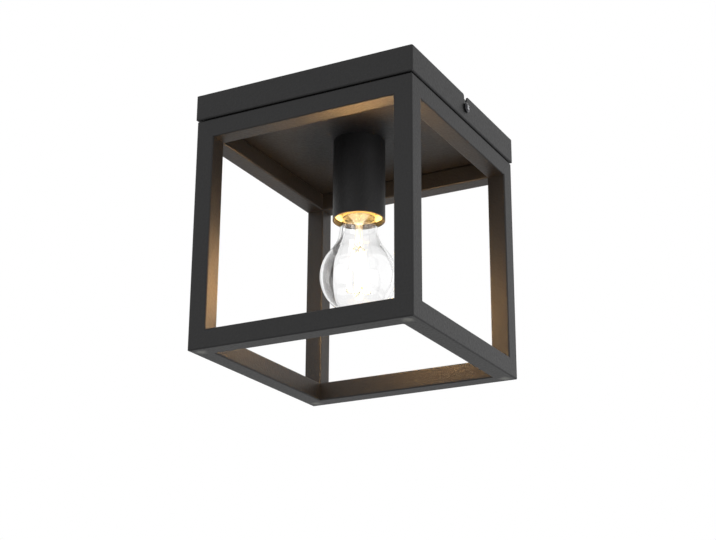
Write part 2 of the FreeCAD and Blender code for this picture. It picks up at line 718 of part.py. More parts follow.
def make_earth():
    """Welded earth stud, the ring terminal on it and its nut."""
    ring_top = floor_top + ring_thickness
    stud_radius = m4_diameter / 2
    save("earth_stud", cylinder(stud_radius, floor_top, floor_top + earth_stud_length, x=earth_x, y=earth_y))
    earth_nut = nut(m4_nut_flats, m4_nut_height, stud_radius + seat_gap, ring_top)
    save("earth_nut", moved(earth_nut, x=earth_x, y=earth_y))
    barrel_bore = wire_radius + wire_gap
    barrel_outer = barrel_bore + barrel_wall
    barrel_axis = floor_top + barrel_outer
    barrel_near = earth_x - ring_neck
    barrel_far = barrel_near - barrel_length
    ring = cylinder(ring_diameter / 2, floor_top, ring_top, x=earth_x, y=earth_y)
    tongue = block(ring_neck, 2 * barrel_bore, floor_top, ring_top, x=earth_x - ring_neck / 2, y=earth_y)
    barrel = rod(barrel_outer, vector(barrel_far, earth_y, barrel_axis), vector(barrel_near, earth_y, barrel_axis))
    lug = fused([ring, tongue, barrel])
    lug = lug.cut(rod(barrel_bore, vector(barrel_far, earth_y, barrel_axis),
                      vector(barrel_near, earth_y, barrel_axis)))
    save("earth_ring", lug.cut(cylinder(stud_radius + seat_gap, floor_top, ring_top, x=earth_x, y=earth_y)))
    return vector(barrel_near, earth_y, barrel_axis)


def wire(points, name):
    """Insulated wire: straight runs through the points, with a tangent arc at each bend."""
    pieces = []
    length = 0.0
    here = points[0]
    for before, corner, after in zip(points, points[1:], points[2:]):
        back = (before - corner).normalize()
        ahead = (after - corner).normalize()
        half = back.getAngle(ahead) / 2
        reach = wire_bend / tan(half)
        first = corner + back * reach
        last = corner + ahead * reach
        pieces.append(rod(wire_radius, here, first))
        centre = corner + (back + ahead).normalize() * (wire_bend / sin(half))
        disc = Part.Face(Part.Wire(Part.makeCircle(wire_radius, first, back)))
        turn = pi - 2 * half
        pieces.append(disc.revolve(centre, ahead.cross(back), turn * 180 / pi))
        length += here.distanceToPoint(first) + wire_bend * turn
        here = last
    pieces.append(rod(wire_radius, here, points[-1]))
    length += here.distanceToPoint(points[-1])
    save(name, fused(pieces))
    print(name, "length", round(length, 1), "mm")


def make_wires(earth_end):
    """Live and neutral run from the block down the nipple to the holder; earth runs to its stud."""
    axis = floor_top + block_sleeve_height
    inside = block_y - block_depth / 4
    out = block_y - block_depth / 2 - 2 * wire_bend
    crossing = floor_top + nipple_rise + 2 * wire_bend - wire_bend / 2
    poles = block_places()
    nipple_end = floor_top - nipple_reach
    post_top = holder_floor_top + post_height
    post_inside = holder_floor_top + post_screw_rise + post_screw_diameter / 2
    turn_high = (nipple_end + post_top) / 2 + wire_bend / 2
    turn_low = post_top + wire_bend / 2
    for side, pole, name in ((-1, poles[0], "wire_live"), (1, poles[1], "wire_neutral")):
        near = side * nipple_wire_spread
        far = side * terminal_pitch / 2
        wire([vector(pole, inside, axis), vector(pole, out, axis), vector(near, 3 * wire_bend, crossing),
              vector(near, 0, crossing), vector(near, 0, turn_high), vector(far, 0, turn_low),
              vector(far, 0, post_inside)], name)
    lug_run = earth_end.x - barrel_length - 2 * wire_bend
    wire([vector(poles[2], inside, axis), vector(poles[2], out + wire_bend, axis),
          vector(lug_run, earth_end.y, earth_end.z), earth_end], "wire_earth")


os.makedirs("parts", exist_ok=True)
make_cage()
make_canopy()
make_mounting()
make_sleeve()
make_nipple()
make_lampholder()
make_filaments(make_bulb_glass())
make_bulb_cap()
make_terminal_block()
make_wires(make_earth())
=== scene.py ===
import math
import bpy
import numpy as np
from mathutils import Matrix, Vector


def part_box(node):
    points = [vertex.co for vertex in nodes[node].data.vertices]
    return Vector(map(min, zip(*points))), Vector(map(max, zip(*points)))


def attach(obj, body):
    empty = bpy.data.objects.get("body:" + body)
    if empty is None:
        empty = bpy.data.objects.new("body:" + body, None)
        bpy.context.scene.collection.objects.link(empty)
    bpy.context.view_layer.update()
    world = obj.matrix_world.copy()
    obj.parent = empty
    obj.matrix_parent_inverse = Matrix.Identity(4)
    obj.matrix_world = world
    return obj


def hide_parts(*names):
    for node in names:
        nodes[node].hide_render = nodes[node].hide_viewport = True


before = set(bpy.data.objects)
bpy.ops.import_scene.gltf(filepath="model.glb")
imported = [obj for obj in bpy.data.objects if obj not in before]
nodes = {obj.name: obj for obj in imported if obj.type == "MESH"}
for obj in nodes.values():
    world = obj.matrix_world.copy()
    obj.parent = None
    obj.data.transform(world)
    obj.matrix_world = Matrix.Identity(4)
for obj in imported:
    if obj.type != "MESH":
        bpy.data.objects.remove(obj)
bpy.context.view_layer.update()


# ---- camera ----
# The lantern is seen from below and from its front right corner, by a short telephoto lens a little
# over a metre away.
viewer_place = (0.50389, -0.93161, -0.50737)
viewer_azimuth = math.radians(26.601)
viewer_elevation = math.radians(-19.078)
viewer_roll = math.radians(-0.232)
camera = bpy.data.objects.new("camera", bpy.data.cameras.new("camera"))
camera.data.sensor_width = 36
camera.data.lens = 73.19
camera.data.shift_x = -0.0614
camera.data.shift_y = 0.0222
aim = (Matrix.Rotation(viewer_azimuth, 4, "Z")
       @ Matrix.Rotation(math.pi / 2 - viewer_elevation, 4, "X")
       @ Matrix.Rotation(viewer_roll, 4, "Z"))
camera.matrix_world = Matrix.Translation(viewer_place) @ aim
bpy.context.scene.collection.objects.link(camera)
bpy.context.scene.camera = camera


# ---- studio ----
# A white surround, a pale floor far below the lantern, and three soft lamps: the strongest one on the
# right, one behind it that the right faces mirror, and a weak one in front.
floor_depth = 1.3
floor_half = 4.0              # half the width of the floor
floor_glow = 0.7              # share of plain white that is seen; the rest keeps the lantern's shadow


def linear(code):
    """Colour from its sRGB hex code: each channel through the sRGB curve, with alpha 1."""
    channels = [int(code[i:i + 2], 16) / 255 for i in (1, 3, 5)]
    return [c / 12.92 if c <= 0.04045 else ((c + 0.055) / 1.055) ** 2.4 for c in channels] + [1.0]


def add_node(tree, kind, inputs=None, **settings):
    """One node of a material: settings are its own fields, and each input is a value or another socket."""
    node = tree.nodes.new(kind)
    for field, value in settings.items():
        setattr(node, field, value)
    for name, value in (inputs or {}).items():
        if isinstance(value, bpy.types.NodeSocket):
            tree.links.new(value, node.inputs[name])
        else:
            node.inputs[name].default_value = value
    return node


def new_material(name):
    """Empty material; returns it with its node tree."""
    material = bpy.data.materials.new(name)
    material.use_nodes = True
    material.node_tree.nodes.clear()
    return material, material.node_tree


# Seen straight, in metal or through glass, the surround is pure white. It lights the lantern less.
surround = bpy.data.worlds.new("white_surround")
surround.use_nodes = True
surround.node_tree.nodes.clear()
floor_paint, floor_tree = new_material("matt_white_floor_paint")
seen = {}
for tree in (surround.node_tree, floor_tree):
    ray = add_node(tree, "ShaderNodeLightPath")
    direct = add_node(tree, "ShaderNodeMath", {0: ray.outputs["Is Camera Ray"],
                                               1: ray.outputs["Is Transmission Ray"]}, operation="MAXIMUM")
    either = add_node(tree, "ShaderNodeMath", {0: direct.outputs[0], 1: ray.outputs["Is Glossy Ray"]},
                      operation="MAXIMUM")
    seen[tree] = either.outputs[0]

tree = surround.node_tree
lighting = add_node(tree, "ShaderNodeBackground", {"Color": linear("#FFFFFF"), "Strength": 0.55})
backdrop = add_node(tree, "ShaderNodeBackground", {"Color": linear("#FFFFFF"), "Strength": 1.0})
mix = add_node(tree, "ShaderNodeMixShader", {0: seen[tree], 1: lighting.outputs[0], 2: backdrop.outputs[0]})
add_node(tree, "ShaderNodeOutputWorld", {"Surface": mix.outputs[0]})
bpy.context.scene.world = surround
bpy.context.scene.view_settings.view_transform = "Standard"

mostly_seen = add_node(floor_tree, "ShaderNodeMath", {0: seen[floor_tree], 1: floor_glow},
                       operation="MULTIPLY")
matt = add_node(floor_tree, "ShaderNodeBsdfPrincipled", {"Base Color": linear("#F1F1F0"), "Roughness": 0.8})
white = add_node(floor_tree, "ShaderNodeEmission", {"Color": linear("#FFFFFF"), "Strength": 1.0})
mix = add_node(floor_tree, "ShaderNodeMixShader", {0: mostly_seen.outputs[0], 1: matt.outputs[0],
                                                   2: white.outputs[0]})
add_node(floor_tree, "ShaderNodeOutputMaterial", {"Surface": mix.outputs[0]})
floor_mesh = bpy.data.meshes.new("floor")
floor_mesh.from_pydata([(x * floor_half, y * floor_half, -floor_depth)
                        for x, y in ((-1, -1), (1, -1), (1, 1), (-1, 1))], [], [(0, 1, 2, 3)])
floor_mesh.materials.append(floor_paint)
floor = bpy.data.objects.new("floor", floor_mesh)
bpy.context.scene.collection.objects.link(floor)

for name, spot, size, watts in (("right_lamp", (1.5, -0.5, -0.45), 0.9, 10.8),
                                ("back_lamp", (1.15, 1.5, 0.2), 0.8, 2.3),
                                ("front_lamp", (-0.6, -1.6, 0.1), 1.0, 3.0)):
    lamp = bpy.data.objects.new(name, bpy.data.lights.new(name, "AREA"))
    lamp.data.size = size
    lamp.data.energy = watts
    lamp.rotation_mode = "QUATERNION"
    lamp.rotation_quaternion = Vector(spot).to_track_quat("Z", "Y")
    lamp.location = spot
    bpy.context.scene.collection.objects.link(lamp)


# ---- mounting strip ----
# Stamped and bent steel strip, bright zinc plated: a thin bluish metal skin, clouded by its yellow
# passivation, that scatters a little over its fine crystals.
mm = 0.001
zinc_cloud = 5 * mm
zinc_crystal = 0.4 * mm


def dress(material, *names):
    """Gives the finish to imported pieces."""
    for name in names:
        slots = nodes[name].data.materials
        slots.clear()
        slots.append(material)


zinc_plate, tree = new_material("bright_zinc_plated_steel")
place = add_node(tree, "ShaderNodeTexCoord").outputs["Object"]
cloud = add_node(tree, "ShaderNodeTexNoise", {"Vector": place, "Scale": 1 / zinc_cloud, "Detail": 3.0})
crystal = add_node(tree, "ShaderNodeTexNoise", {"Vector": place, "Scale": 1 / zinc_crystal, "Detail": 2.0})
tint = add_node(tree, "ShaderNodeMix", {0: cloud.outputs["Fac"], 6: linear("#A9B1BE"),
                                        7: linear("#CBC7B6")}, data_type="RGBA")
gloss = add_node(tree, "ShaderNodeMapRange", {"Value": crystal.outputs["Fac"], "To Min": 0.24,
                                              "To Max": 0.42})
bump = add_node(tree, "ShaderNodeBump", {"Height": crystal.outputs["Fac"], "Strength": 0.3,
                                         "Distance": 0.02 * mm})
metal = add_node(tree, "ShaderNodeBsdfPrincipled", {"Base Color": tint.outputs[2], "Metallic": 1.0,
                                                    "Roughness": gloss.outputs[0],
                                                    "Normal": bump.outputs[0]})
add_node(tree, "ShaderNodeOutputMaterial", {"Surface": metal.outputs[0]})
dress(zinc_plate, "mounting_strip")


# ---- clamp screws and frame screws ----
# M4 pan-head machine screws, cold headed and rolled from steel wire, with a cross recess. Two blackened
# ones clamp the canopy's sides to the strip, and four bright ones go down through its floor into the cage.
m4_radius = 2.0 * mm
m4_pitch = 0.7 * mm
m4_thread = 0.43 * mm
head_radius = 2 * m4_radius
head_height = 2.4 * mm
head_edge = 1.1 * mm
recess_arm = 2.2 * mm         # from the axis to the end of an arm of the cross
recess_half = 0.55 * mm       # half the width of an arm
recess_edge = 0.12 * mm       # width of the arm's steep side
recess_depth = 1.5 * mm
rows_a_pitch = 8              # rows of points in one pitch of a thread
columns_a_turn = 64
around = np.linspace(0, 2 * np.pi, columns_a_turn, endpoint=False)[None, :]


def thread(radius, pitch, depth, length):
    """Threaded shank down from z = 0: its radius is the nominal one less the thread's depth times a
    triangle wave of (height / pitch - turn), and the last turn runs out to the root."""
    height = -np.linspace(0, length, int(rows_a_pitch * length / pitch) + 2)[:, None]
    wave = np.abs((height / pitch - around / (2 * np.pi)) % 1 * 2 - 1)
    left = np.clip((height + length) / pitch, 0, 1)
    return radius - depth * (1 - (1 - wave) * left), height + 0 * around


def upright(radii, heights):
    """Grid of points from radii and heights: row by row down a profile, column by column round the axis."""
    radii = radii + 0 * around
    return np.stack([radii * np.cos(around), radii * np.sin(around), heights + 0 * around], axis=-1)


def pan_head_screw(length):
    """Screw down -Z with its head's underside at z = 0. The top is a shallow parabola that sinks into a
    cross: the sink is full where the smaller of |x| and |y| is inside half an arm's width and the larger
    inside the arm's length."""
    out = np.linspace(0.03, 1, 28)[:, None] * head_radius
    smaller = np.minimum(np.abs(out * np.cos(around)), np.abs(out * np.sin(around)))
    larger = np.maximum(np.abs(out * np.cos(around)), np.abs(out * np.sin(around)))
    narrow = np.clip((recess_half - smaller) / recess_edge, 0, 1)
    short = np.clip((recess_arm - larger) / (3 * recess_edge), 0, 1)
    crown = head_edge + (head_height - head_edge) * (1 - (out / head_radius) ** 2)
    shank_radii, shank_heights = thread(m4_radius, m4_pitch, m4_thread, length)
    rim = np.array([[1.0, 0.5], [1.0, 0.0], [0.6, 0.0]]) * (head_radius, head_edge)     # down and in under
    radii = np.vstack([out + 0 * around, rim[:, :1] + 0 * around, shank_radii])
    heights = np.vstack([crown - recess_depth * narrow * short, rim[:, 1:] + 0 * around, shank_heights])
    return upright(radii, heights)


def mesh_faces(grid, ring):
    """Points and faces of one grid. Neighbouring points make quads and the columns join up. The rows of a
    ring join up too; otherwise a fan about its middle point closes each end. Faces are turned round if the
    sum of their signed volumes is negative."""
    rows, columns = grid.shape[:2]
    points = grid.reshape(-1, 3)
    here = np.arange(rows * columns).reshape(rows, columns)
    here = np.vstack([here, here[:1]]) if ring else here
    there = np.roll(here, -1, axis=1)
    quads = np.stack([here[:-1], there[:-1], there[1:], here[1:]], axis=-1).reshape(-1, 4)
    fans = np.zeros((0, 3), int)
    if not ring:
        points = np.vstack([points, grid[0].mean(axis=0), grid[-1].mean(axis=0)])
        middle = np.full(columns, rows * columns)
        fans = np.vstack([np.stack([middle, there[0], here[0]], axis=-1),
                          np.stack([middle + 1, here[-1], there[-1]], axis=-1)])
    corners = points[np.vstack([quads[:, [0, 1, 2]], quads[:, [0, 2, 3]], fans])]
    if np.einsum("ij,ij->", corners[:, 0], np.cross(corners[:, 1], corners[:, 2])) < 0:
        quads = quads[:, ::-1]
        fans = fans[:, ::-1]
    return points, quads, fans


def make_piece(name, body, material, grids, ring=False):
    """New piece from grids of points, riding on a body."""
    points = []
    faces = []
    for grid in grids:
        start = sum(len(part) for part in points)
        part, quads, fans = mesh_faces(grid, ring)
        points.append(part)
        faces += (quads + start).tolist() + (fans + start).tolist()
    mesh = bpy.data.meshes.new(name)
    mesh.from_pydata(np.vstack(points).tolist(), [], faces)
    mesh.shade_smooth()
    mesh.set_sharp_from_angle(angle=math.radians(35))
    mesh.materials.append(material)
    new = bpy.data.objects.new(name, mesh)
    bpy.context.scene.collection.objects.link(new)
    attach(new, body)
    return new


# Black passivation over the zinc leaves a dark metal with a dull gleam. Round the recess the head is
# painted bright metal, a painted highlight for the glints that it catches there.
film_cloud = 1.5 * mm
glint_radius = 1.9 * mm
low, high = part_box("clamp_screw_right")
seat = (high.x - head_height, 0, (low.z + high.z) / 2)
blackened, tree = new_material("black_passivated_zinc_on_steel")
place = add_node(tree, "ShaderNodeTexCoord").outputs["Object"]
cloud = add_node(tree, "ShaderNodeTexNoise", {"Vector": place, "Scale": 1 / film_cloud, "Detail": 3.0})
facing = add_node(tree, "ShaderNodeVectorMath", {0: place, 1: (0, 1, 1)}, operation="MULTIPLY")
away = add_node(tree, "ShaderNodeVectorMath", {0: facing.outputs[0], 1: (0, 0, seat[2])},
                operation="DISTANCE")
# Inside this radius the head is painted bright metal: a painted highlight round the recess.
painted_glint = add_node(tree, "ShaderNodeMapRange", {"Value": away.outputs["Value"], "From Min": 0.8 * glint_radius,
                                             "From Max": glint_radius, "To Min": 1.0, "To Max": 0.0})
film = add_node(tree, "ShaderNodeMix", {0: cloud.outputs["Fac"], 6: linear("#2B2B2D"),
                                        7: linear("#454548")}, data_type="RGBA")
tint = add_node(tree, "ShaderNodeMix", {0: painted_glint.outputs[0], 6: film.outputs[2],
                                        7: linear("#D5D6D8")}, data_type="RGBA")
gloss = add_node(tree, "ShaderNodeMapRange", {"Value": cloud.outputs["Fac"], "To Min": 0.2, "To Max": 0.36})
metal = add_node(tree, "ShaderNodeBsdfPrincipled", {"Base Color": tint.outputs[2], "Metallic": 1.0,
                                                    "Roughness": gloss.outputs[0]})
add_node(tree, "ShaderNodeOutputMaterial", {"Surface": metal.outputs[0]})

clamp_screw = pan_head_screw(high.x - low.x - head_height)
lying = clamp_screw[..., [2, 1, 0]] * (1, 1, -1) + seat
for name, side in (("clamp_screw_right", 1), ("clamp_screw_left", -1)):
    new = make_piece(name + "_detailed", name, blackened, [lying * (side, side, 1)])
    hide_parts(name)

low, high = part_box("frame_screws")
frame_screw = pan_head_screw(high.z - low.z - head_height)
reach = high.x - head_radius
places = [(reach, 0), (0, reach), (-reach, 0), (0, -reach)]
new = make_piece("frame_screws_detailed", "lantern", zinc_plate,
                 [frame_screw + (x, y, high.z - head_height) for x, y in places])
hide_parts("frame_screws")


# ---- canopy, cage and sleeve ----
# Folded sheet pan, welded square tube and a drawn sleeve under one coat of black polyester powder. The
# powder melts to a fine grain over a slow peel, so its sheen is low and soft. Round the cage's ground lower
# corners a paler grey is painted into the coat's colour, a painted highlight for the sheen they catch.
coat_grain = 1.8 * mm         # really near 0.3 mm, drawn coarser so that it shows
coat_peel = 4 * mm
coat_relief = 0.18 * mm       # drawn deeper too, as the grain is wider
sheen_core = 3 * mm          # the painted highlight is full up to here from the middle of a post's lower end, and gone from here on, and the peel takes up to this much off both
sheen_reach = 9 * mm         # and whole again from here on,
sheen_stray = 5 * mm         # and the peel takes up to this much off both
powder_coat, tree = new_material("black_polyester_powder_coat")
place = add_node(tree, "ShaderNodeTexCoord").outputs["Object"]
grain = add_node(tree, "ShaderNodeTexNoise", {"Vector": place, "Scale": 1 / coat_grain, "Detail": 2.0})
peel = add_node(tree, "ShaderNodeTexNoise", {"Vector": place, "Scale": 1 / coat_peel, "Detail": 1.0})
height = add_node(tree, "ShaderNodeMath", {0: peel.outputs["Fac"], 1: 0.3, 2: grain.outputs["Fac"]},
                  operation="MULTIPLY_ADD")
bump = add_node(tree, "ShaderNodeBump", {"Height": height.outputs[0], "Strength": 1.0,
                                         "Distance": coat_relief})
gloss = add_node(tree, "ShaderNodeMapRange", {"Value": grain.outputs["Fac"], "To Min": 0.42,
                                              "To Max": 0.62})
folded = add_node(tree, "ShaderNodeVectorMath", {0: place}, operation="ABSOLUTE")
low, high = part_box("post_front_right")
corner_sheen_centre = ((low.x + high.x) / 2, (low.x + high.x) / 2, -low.z)
away = add_node(tree, "ShaderNodeVectorMath", {0: folded.outputs[0], 1: corner_sheen_centre}, operation="DISTANCE")
ragged = add_node(tree, "ShaderNodeMath", {0: peel.outputs["Fac"], 1: sheen_stray,
                                           2: away.outputs["Value"]}, operation="MULTIPLY_ADD")
painted_sheen = add_node(tree, "ShaderNodeMapRange", {"Value": ragged.outputs[0], "From Min": sheen_core,
                                             "From Max": sheen_reach, "To Min": 1.0, "To Max": 0.0},
                interpolation_type="SMOOTHSTEP")
# Black coat, with a paler grey painted round the lower corners: a painted highlight for their ground welds.
colour = add_node(tree, "ShaderNodeMix", {0: painted_sheen.outputs[0], 6: linear("#141415"), 7: linear("#64645F")},
                  data_type="RGBA")
coat = add_node(tree, "ShaderNodeBsdfPrincipled", {"Base Color": colour.outputs[2], "IOR": 1.38,
                                                   "Roughness": gloss.outputs[0],
                                                   "Normal": bump.outputs[0]})
add_node(tree, "ShaderNodeOutputMaterial", {"Surface": coat.outputs[0]})
dress(powder_coat, "canopy", "rivet_nuts", "lampholder_sleeve")
for corner in ("front_right", "back_right", "back_left", "front_left"):
    dress(powder_coat, "post_" + corner)
for side in ("front", "right", "back", "left"):
    dress(powder_coat, "top_rail_" + side, "bottom_rail_" + side)


# ---- terminal block ----
# Injection moulded nylon, with a turned brass sleeve and two slotted steel screws for each conductor,
# held on two welded M3 studs by nuts. The nylon is a waxy white, a little yellower in broad patches.
nylon_grain = 0.3 * mm
nylon_flow = 6 * mm
nylon, tree = new_material("moulded_white_nylon")
place = add_node(tree, "ShaderNodeTexCoord").outputs["Object"]
grain = add_node(tree, "ShaderNodeTexNoise", {"Vector": place, "Scale": 1 / nylon_grain, "Detail": 2.0})
flow = add_node(tree, "ShaderNodeTexNoise", {"Vector": place, "Scale": 1 / nylon_flow, "Detail": 1.0})
tint = add_node(tree, "ShaderNodeMix", {0: flow.outputs["Fac"], 6: linear("#E9E8E1"),
                                        7: linear("#DDDACD")}, data_type="RGBA")
bump = add_node(tree, "ShaderNodeBump", {"Height": grain.outputs["Fac"], "Strength": 0.3,
                                         "Distance": 0.03 * mm})
body = add_node(tree, "ShaderNodeBsdfPrincipled", {"Base Color": tint.outputs[2], "Roughness": 0.45,
                                                   "IOR": 1.53, "Subsurface Weight": 0.1,
                                                   "Subsurface Scale": 1.5 * mm,
                                                   "Normal": bump.outputs[0]})
add_node(tree, "ShaderNodeOutputMaterial", {"Surface": body.outputs[0]})
dress(nylon, "terminal_block")

# Brass is turned or stamped and left bare: warm yellow, with fine tool lines that stretch its
# highlights, and a browner tarnish in patches.
tool_line = 0.12 * mm
tarnish_patch = 2.5 * mm
brass, tree = new_material("turned_brass")
place = add_node(tree, "ShaderNodeTexCoord").outputs["Object"]
stretched = add_node(tree, "ShaderNodeMapping", {"Vector": place, "Scale": (1.0, 0.06, 1.0)})
lines = add_node(tree, "ShaderNodeTexNoise", {"Vector": stretched.outputs[0], "Scale": 1 / tool_line,
                                              "Detail": 2.0})
tarnish = add_node(tree, "ShaderNodeTexNoise", {"Vector": place, "Scale": 1 / tarnish_patch, "Detail": 3.0})
tint = add_node(tree, "ShaderNodeMix", {0: tarnish.outputs["Fac"], 6: linear("#D9B66A"),
                                        7: linear("#B98C45")}, data_type="RGBA")
gloss = add_node(tree, "ShaderNodeMapRange", {"Value": lines.outputs["Fac"], "To Min": 0.2, "To Max": 0.38})
bump = add_node(tree, "ShaderNodeBump", {"Height": lines.outputs["Fac"], "Strength": 0.2,
                                         "Distance": 0.01 * mm})
metal = add_node(tree, "ShaderNodeBsdfPrincipled", {"Base Color": tint.outputs[2], "Metallic": 1.0,
                                                    "Roughness": gloss.outputs[0],
                                                    "Normal": bump.outputs[0]})
add_node(tree, "ShaderNodeOutputMaterial", {"Surface": metal.outputs[0]})
dress(brass, "block_sleeves")
dress(zinc_plate, "block_nuts")

# The slotted screws and the studs have an M3 thread and the same bright zinc plating.
m3_radius = 1.5 * mm
m3_pitch = 0.5 * mm
m3_thread = 0.3 * mm
slot_half = 0.35 * mm
slot_edge = 0.07 * mm         # width of the slot's steep side
slot_depth = 0.8 * mm


def threaded_stud(radius, pitch, depth, length, slot=0.0):
    """Headless screw down from z = 0: a flat end, sunk by the slot's depth where |y| is inside half its
    width, then the thread."""
    out = np.linspace(0.06, 1, 14)[:, None] * (radius - depth)
    sink = slot * np.clip((slot_half - np.abs(out * np.sin(around))) / slot_edge, 0, 1)
    radii, heights = thread(radius, pitch, depth, length)
    radii[0] = radius - depth
    return upright(np.vstack([out + 0 * around, radii]), np.vstack([-sink, heights]))


low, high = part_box("block_screws")
block_screw = threaded_stud(m3_radius, m3_pitch, m3_thread, high.z - low.z, slot_depth)
poles = np.linspace(low.x + m3_radius, high.x - m3_radius, 3)
rows = (low.y + m3_radius, high.y - m3_radius)
new = make_piece("block_screws_detailed", "lantern", zinc_plate,
                 [block_screw + (x, y, high.z) for x in poles for y in rows])
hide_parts("block_screws")

low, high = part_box("block_studs")
block_stud = threaded_stud(m3_radius, m3_pitch, m3_thread, high.z - low.z)
ends = (low.x + m3_radius, high.x - m3_radius)
new = make_piece("block_studs_detailed", "lantern", zinc_plate,
                 [block_stud + (x, (low.y + high.y) / 2, high.z) for x in ends])
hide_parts("block_studs")


# ---- earth stud and ring ----
# A welded M4 stud and its nut hold a ring terminal that is stamped from copper sheet, crimped on the
# earth wire, and tin plated to a dull grey with matt spots.
tin_spot = 0.8 * mm
tin_plate, tree = new_material("tin_plated_copper")
place = add_node(tree, "ShaderNodeTexCoord").outputs["Object"]
matt_spots = add_node(tree, "ShaderNodeTexNoise", {"Vector": place, "Scale": 1 / tin_spot, "Detail": 3.0})
tint = add_node(tree, "ShaderNodeMix", {0: matt_spots.outputs["Fac"], 6: linear("#C9C8C3"),
                                        7: linear("#B1AFA8")}, data_type="RGBA")
gloss = add_node(tree, "ShaderNodeMapRange", {"Value": matt_spots.outputs["Fac"], "To Min": 0.35,
                                              "To Max": 0.55})
metal = add_node(tree, "ShaderNodeBsdfPrincipled", {"Base Color": tint.outputs[2], "Metallic": 1.0,
                                                    "Roughness": gloss.outputs[0]})
add_node(tree, "ShaderNodeOutputMaterial", {"Surface": metal.outputs[0]})
dress(tin_plate, "earth_ring")
dress(zinc_plate, "earth_nut")

low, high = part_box("earth_stud")
earth_stud = threaded_stud(m4_radius, m4_pitch, m4_thread, high.z - low.z)
new = make_piece("earth_stud_detailed", "lantern", zinc_plate,
                 [earth_stud + ((low.x + high.x) / 2, (low.y + high.y) / 2, high.z)])
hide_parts("earth_stud")


# ---- threaded nipple ----
# M10 tube with a one millimetre thread, zinc plated, that hangs the lampholder under the canopy by a
# washer and a nut, and lets its two wires down.
nipple_bore = 4.0 * mm
nipple_pitch = 1.0 * mm
nipple_thread = 0.6 * mm
low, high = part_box("threaded_nipple")
radii, heights = thread(high.x, nipple_pitch, nipple_thread, high.z - low.z)
bore = np.array([[low.z - high.z], [0.0]]) + 0 * around
tube = upright(np.vstack([radii, nipple_bore + 0 * bore]), np.vstack([heights, bore]))
new = make_piece("threaded_nipple_detailed", "lantern", zinc_plate,
                 [tube + (0, 0, high.z)], ring=True)
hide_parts("threaded_nipple")
dress(zinc_plate, "nipple_washer", "nipple_nut")


# ---- lampholder ----
# Skirt and cover of pressed steatite with a cream-white glaze: a hard clear gloss that pools in slow
# waves over a faintly speckled body. The terminals and the spring contact are bare brass.
glaze_wave = 4 * mm
clay_speckle = 0.7 * mm
ceramic, tree = new_material("glazed_cream_steatite")
place = add_node(tree, "ShaderNodeTexCoord").outputs["Object"]
speckle = add_node(tree, "ShaderNodeTexNoise", {"Vector": place, "Scale": 1 / clay_speckle, "Detail": 3.0})
wave = add_node(tree, "ShaderNodeTexNoise", {"Vector": place, "Scale": 1 / glaze_wave, "Detail": 1.0})
tint = add_node(tree, "ShaderNodeMix", {0: speckle.outputs["Fac"], 6: linear("#DAD2A6"),
                                        7: linear("#CDC393")}, data_type="RGBA")
bump = add_node(tree, "ShaderNodeBump", {"Height": wave.outputs["Fac"], "Strength": 0.3,
                                         "Distance": 0.1 * mm})
gloss = add_node(tree, "ShaderNodeMapRange", {"Value": wave.outputs["Fac"], "To Min": 0.18, "To Max": 0.3})
body = add_node(tree, "ShaderNodeBsdfPrincipled", {"Base Color": tint.outputs[2], "IOR": 1.55,
                                                   "Roughness": gloss.outputs[0],
                                                   "Normal": bump.outputs[0]})
add_node(tree, "ShaderNodeOutputMaterial", {"Surface": body.outputs[0]})
dress(ceramic, "lampholder_skirt", "lampholder_cover")
dress(brass, "holder_terminals", "centre_contact")

# Thin brass, nickel plated: a warm bright metal that dulls in patches. The bulb's cap, further on, has
# its rolled thread in its shape. The screw shell's shows as relief on a plain wall: the cosine of
# height over pitch less turn.
e27_pitch = 3.62 * mm
rolled_relief = 0.4 * mm
nickel_patch = 3 * mm
nickel_shine = linear("#DDD3BC")
nickel_dull = linear("#C7B994")
nickel_plate, tree = new_material("nickel_plated_brass")
place = add_node(tree, "ShaderNodeTexCoord").outputs["Object"]
dull = add_node(tree, "ShaderNodeTexNoise", {"Vector": place, "Scale": 1 / nickel_patch, "Detail": 4.0})
tint = add_node(tree, "ShaderNodeMix", {0: dull.outputs["Fac"], 6: nickel_shine, 7: nickel_dull},
                data_type="RGBA")
gloss = add_node(tree, "ShaderNodeMapRange", {"Value": dull.outputs["Fac"], "To Min": 0.16, "To Max": 0.32})
metal = add_node(tree, "ShaderNodeBsdfPrincipled", {"Base Color": tint.outputs[2], "Metallic": 1.0,
                                                    "Roughness": gloss.outputs[0]})
add_node(tree, "ShaderNodeOutputMaterial", {"Surface": metal.outputs[0]})

rolled_shell, tree = new_material("rolled_nickel_plated_shell")
place = add_node(tree, "ShaderNodeTexCoord").outputs["Object"]
parts = add_node(tree, "ShaderNodeSeparateXYZ", {0: place})
angle = add_node(tree, "ShaderNodeMath", {0: parts.outputs["Y"], 1: parts.outputs["X"]},
                 operation="ARCTAN2")
climb = add_node(tree, "ShaderNodeMath", {0: parts.outputs["Z"], 1: 2 * math.pi / e27_pitch},
                 operation="MULTIPLY")
phase = add_node(tree, "ShaderNodeMath", {0: climb.outputs[0], 1: angle.outputs[0]}, operation="SUBTRACT")
ridge = add_node(tree, "ShaderNodeMath", {0: phase.outputs[0]}, operation="COSINE")
bump = add_node(tree, "ShaderNodeBump", {"Height": ridge.outputs[0], "Strength": 1.0,
                                         "Distance": rolled_relief})
dull = add_node(tree, "ShaderNodeTexNoise", {"Vector": place, "Scale": 1 / nickel_patch, "Detail": 4.0})
tint = add_node(tree, "ShaderNodeMix", {0: dull.outputs["Fac"], 6: nickel_shine, 7: nickel_dull},
                data_type="RGBA")
metal = add_node(tree, "ShaderNodeBsdfPrincipled", {"Base Color": tint.outputs[2], "Metallic": 1.0,
                                                    "Roughness": 0.22, "Normal": bump.outputs[0]})
add_node(tree, "ShaderNodeOutputMaterial", {"Surface": metal.outputs[0]})
dress(rolled_shell, "screw_shell")

